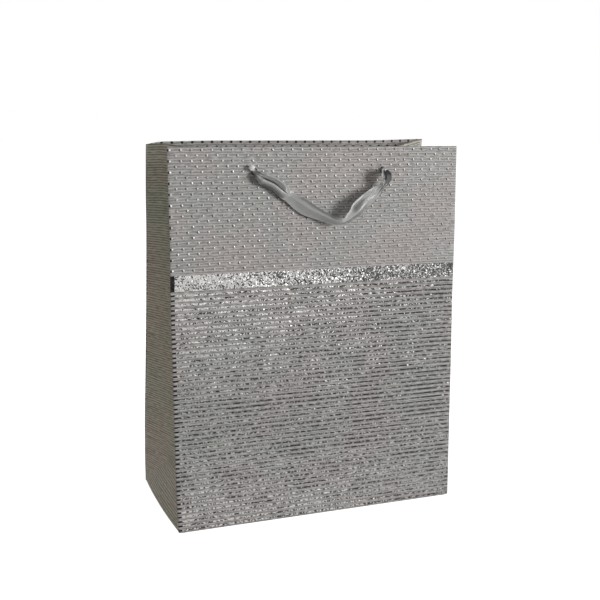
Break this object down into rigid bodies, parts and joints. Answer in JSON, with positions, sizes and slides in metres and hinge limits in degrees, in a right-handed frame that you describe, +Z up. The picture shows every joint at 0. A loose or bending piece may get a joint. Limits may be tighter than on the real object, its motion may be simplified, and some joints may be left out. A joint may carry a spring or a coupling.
{
  "type": "paper gift bag",
  "caption": "Gusseted paper gift bag with a turned-in rim, a flat folded base with a loose board, and swinging satin ribbon handles.",
  "frame": {"origin": "centre of the base, on the surface the bag stands on", "axes": "+Z up the bag, +X across the front panel, the printed front faces -Y"},
  "size_m": [0.26, 0.12, 0.3188],
  "materials": {
    "printed_paper": "matt coated paper, fine printed lines and silver foil",
    "printed_hem": "matt coated paper turned in, with foil dots",
    "bare_paper": "uncoated paper reverse",
    "grey_board": "uncoated grey board",
    "satin_ribbon": "satin ribbon"
  },
  "bodies": {
    "bag": {"front_panel": "printed_paper", "back_panel": "printed_paper", "left_gusset_front": "printed_paper", "left_gusset_rear": "printed_paper", "left_gusset_base": "printed_paper", "right_gusset_front": "printed_paper", "right_gusset_rear": "printed_paper", "right_gusset_base": "printed_paper", "seam_flap": "bare_paper", "front_bottom_flap": "printed_paper", "back_bottom_flap": "printed_paper", "left_bottom_flap": "bare_paper", "right_bottom_flap": "bare_paper", "front_hem": "printed_hem", "back_hem": "printed_hem", "left_hem_front": "printed_hem", "left_hem_rear": "printed_hem", "right_hem_front": "printed_hem", "right_hem_rear": "printed_hem", "front_top_board": "grey_board", "back_top_board": "grey_board", "bottom_board": "grey_board", "front_left_knot": "satin_ribbon", "front_right_knot": "satin_ribbon", "back_left_knot": "satin_ribbon", "back_right_knot": "satin_ribbon"},
    "front_handle": {"front_ribbon": "satin_ribbon"},
    "back_handle": {"back_ribbon": "satin_ribbon"}
  },
  "joints": [
    {"name": "front_handle_swing", "type": "hinge", "parent": "bag", "child": "front_handle", "pos_m": [0, -0.03724, 0.29916], "axis": [-1, 0, 0], "range_deg": [0, 150]},
    {"name": "back_handle_swing", "type": "hinge", "parent": "bag", "child": "back_handle", "pos_m": [0, 0.03724, 0.29916], "axis": [1, 0, 0], "range_deg": [0, 150]}
  ]
}
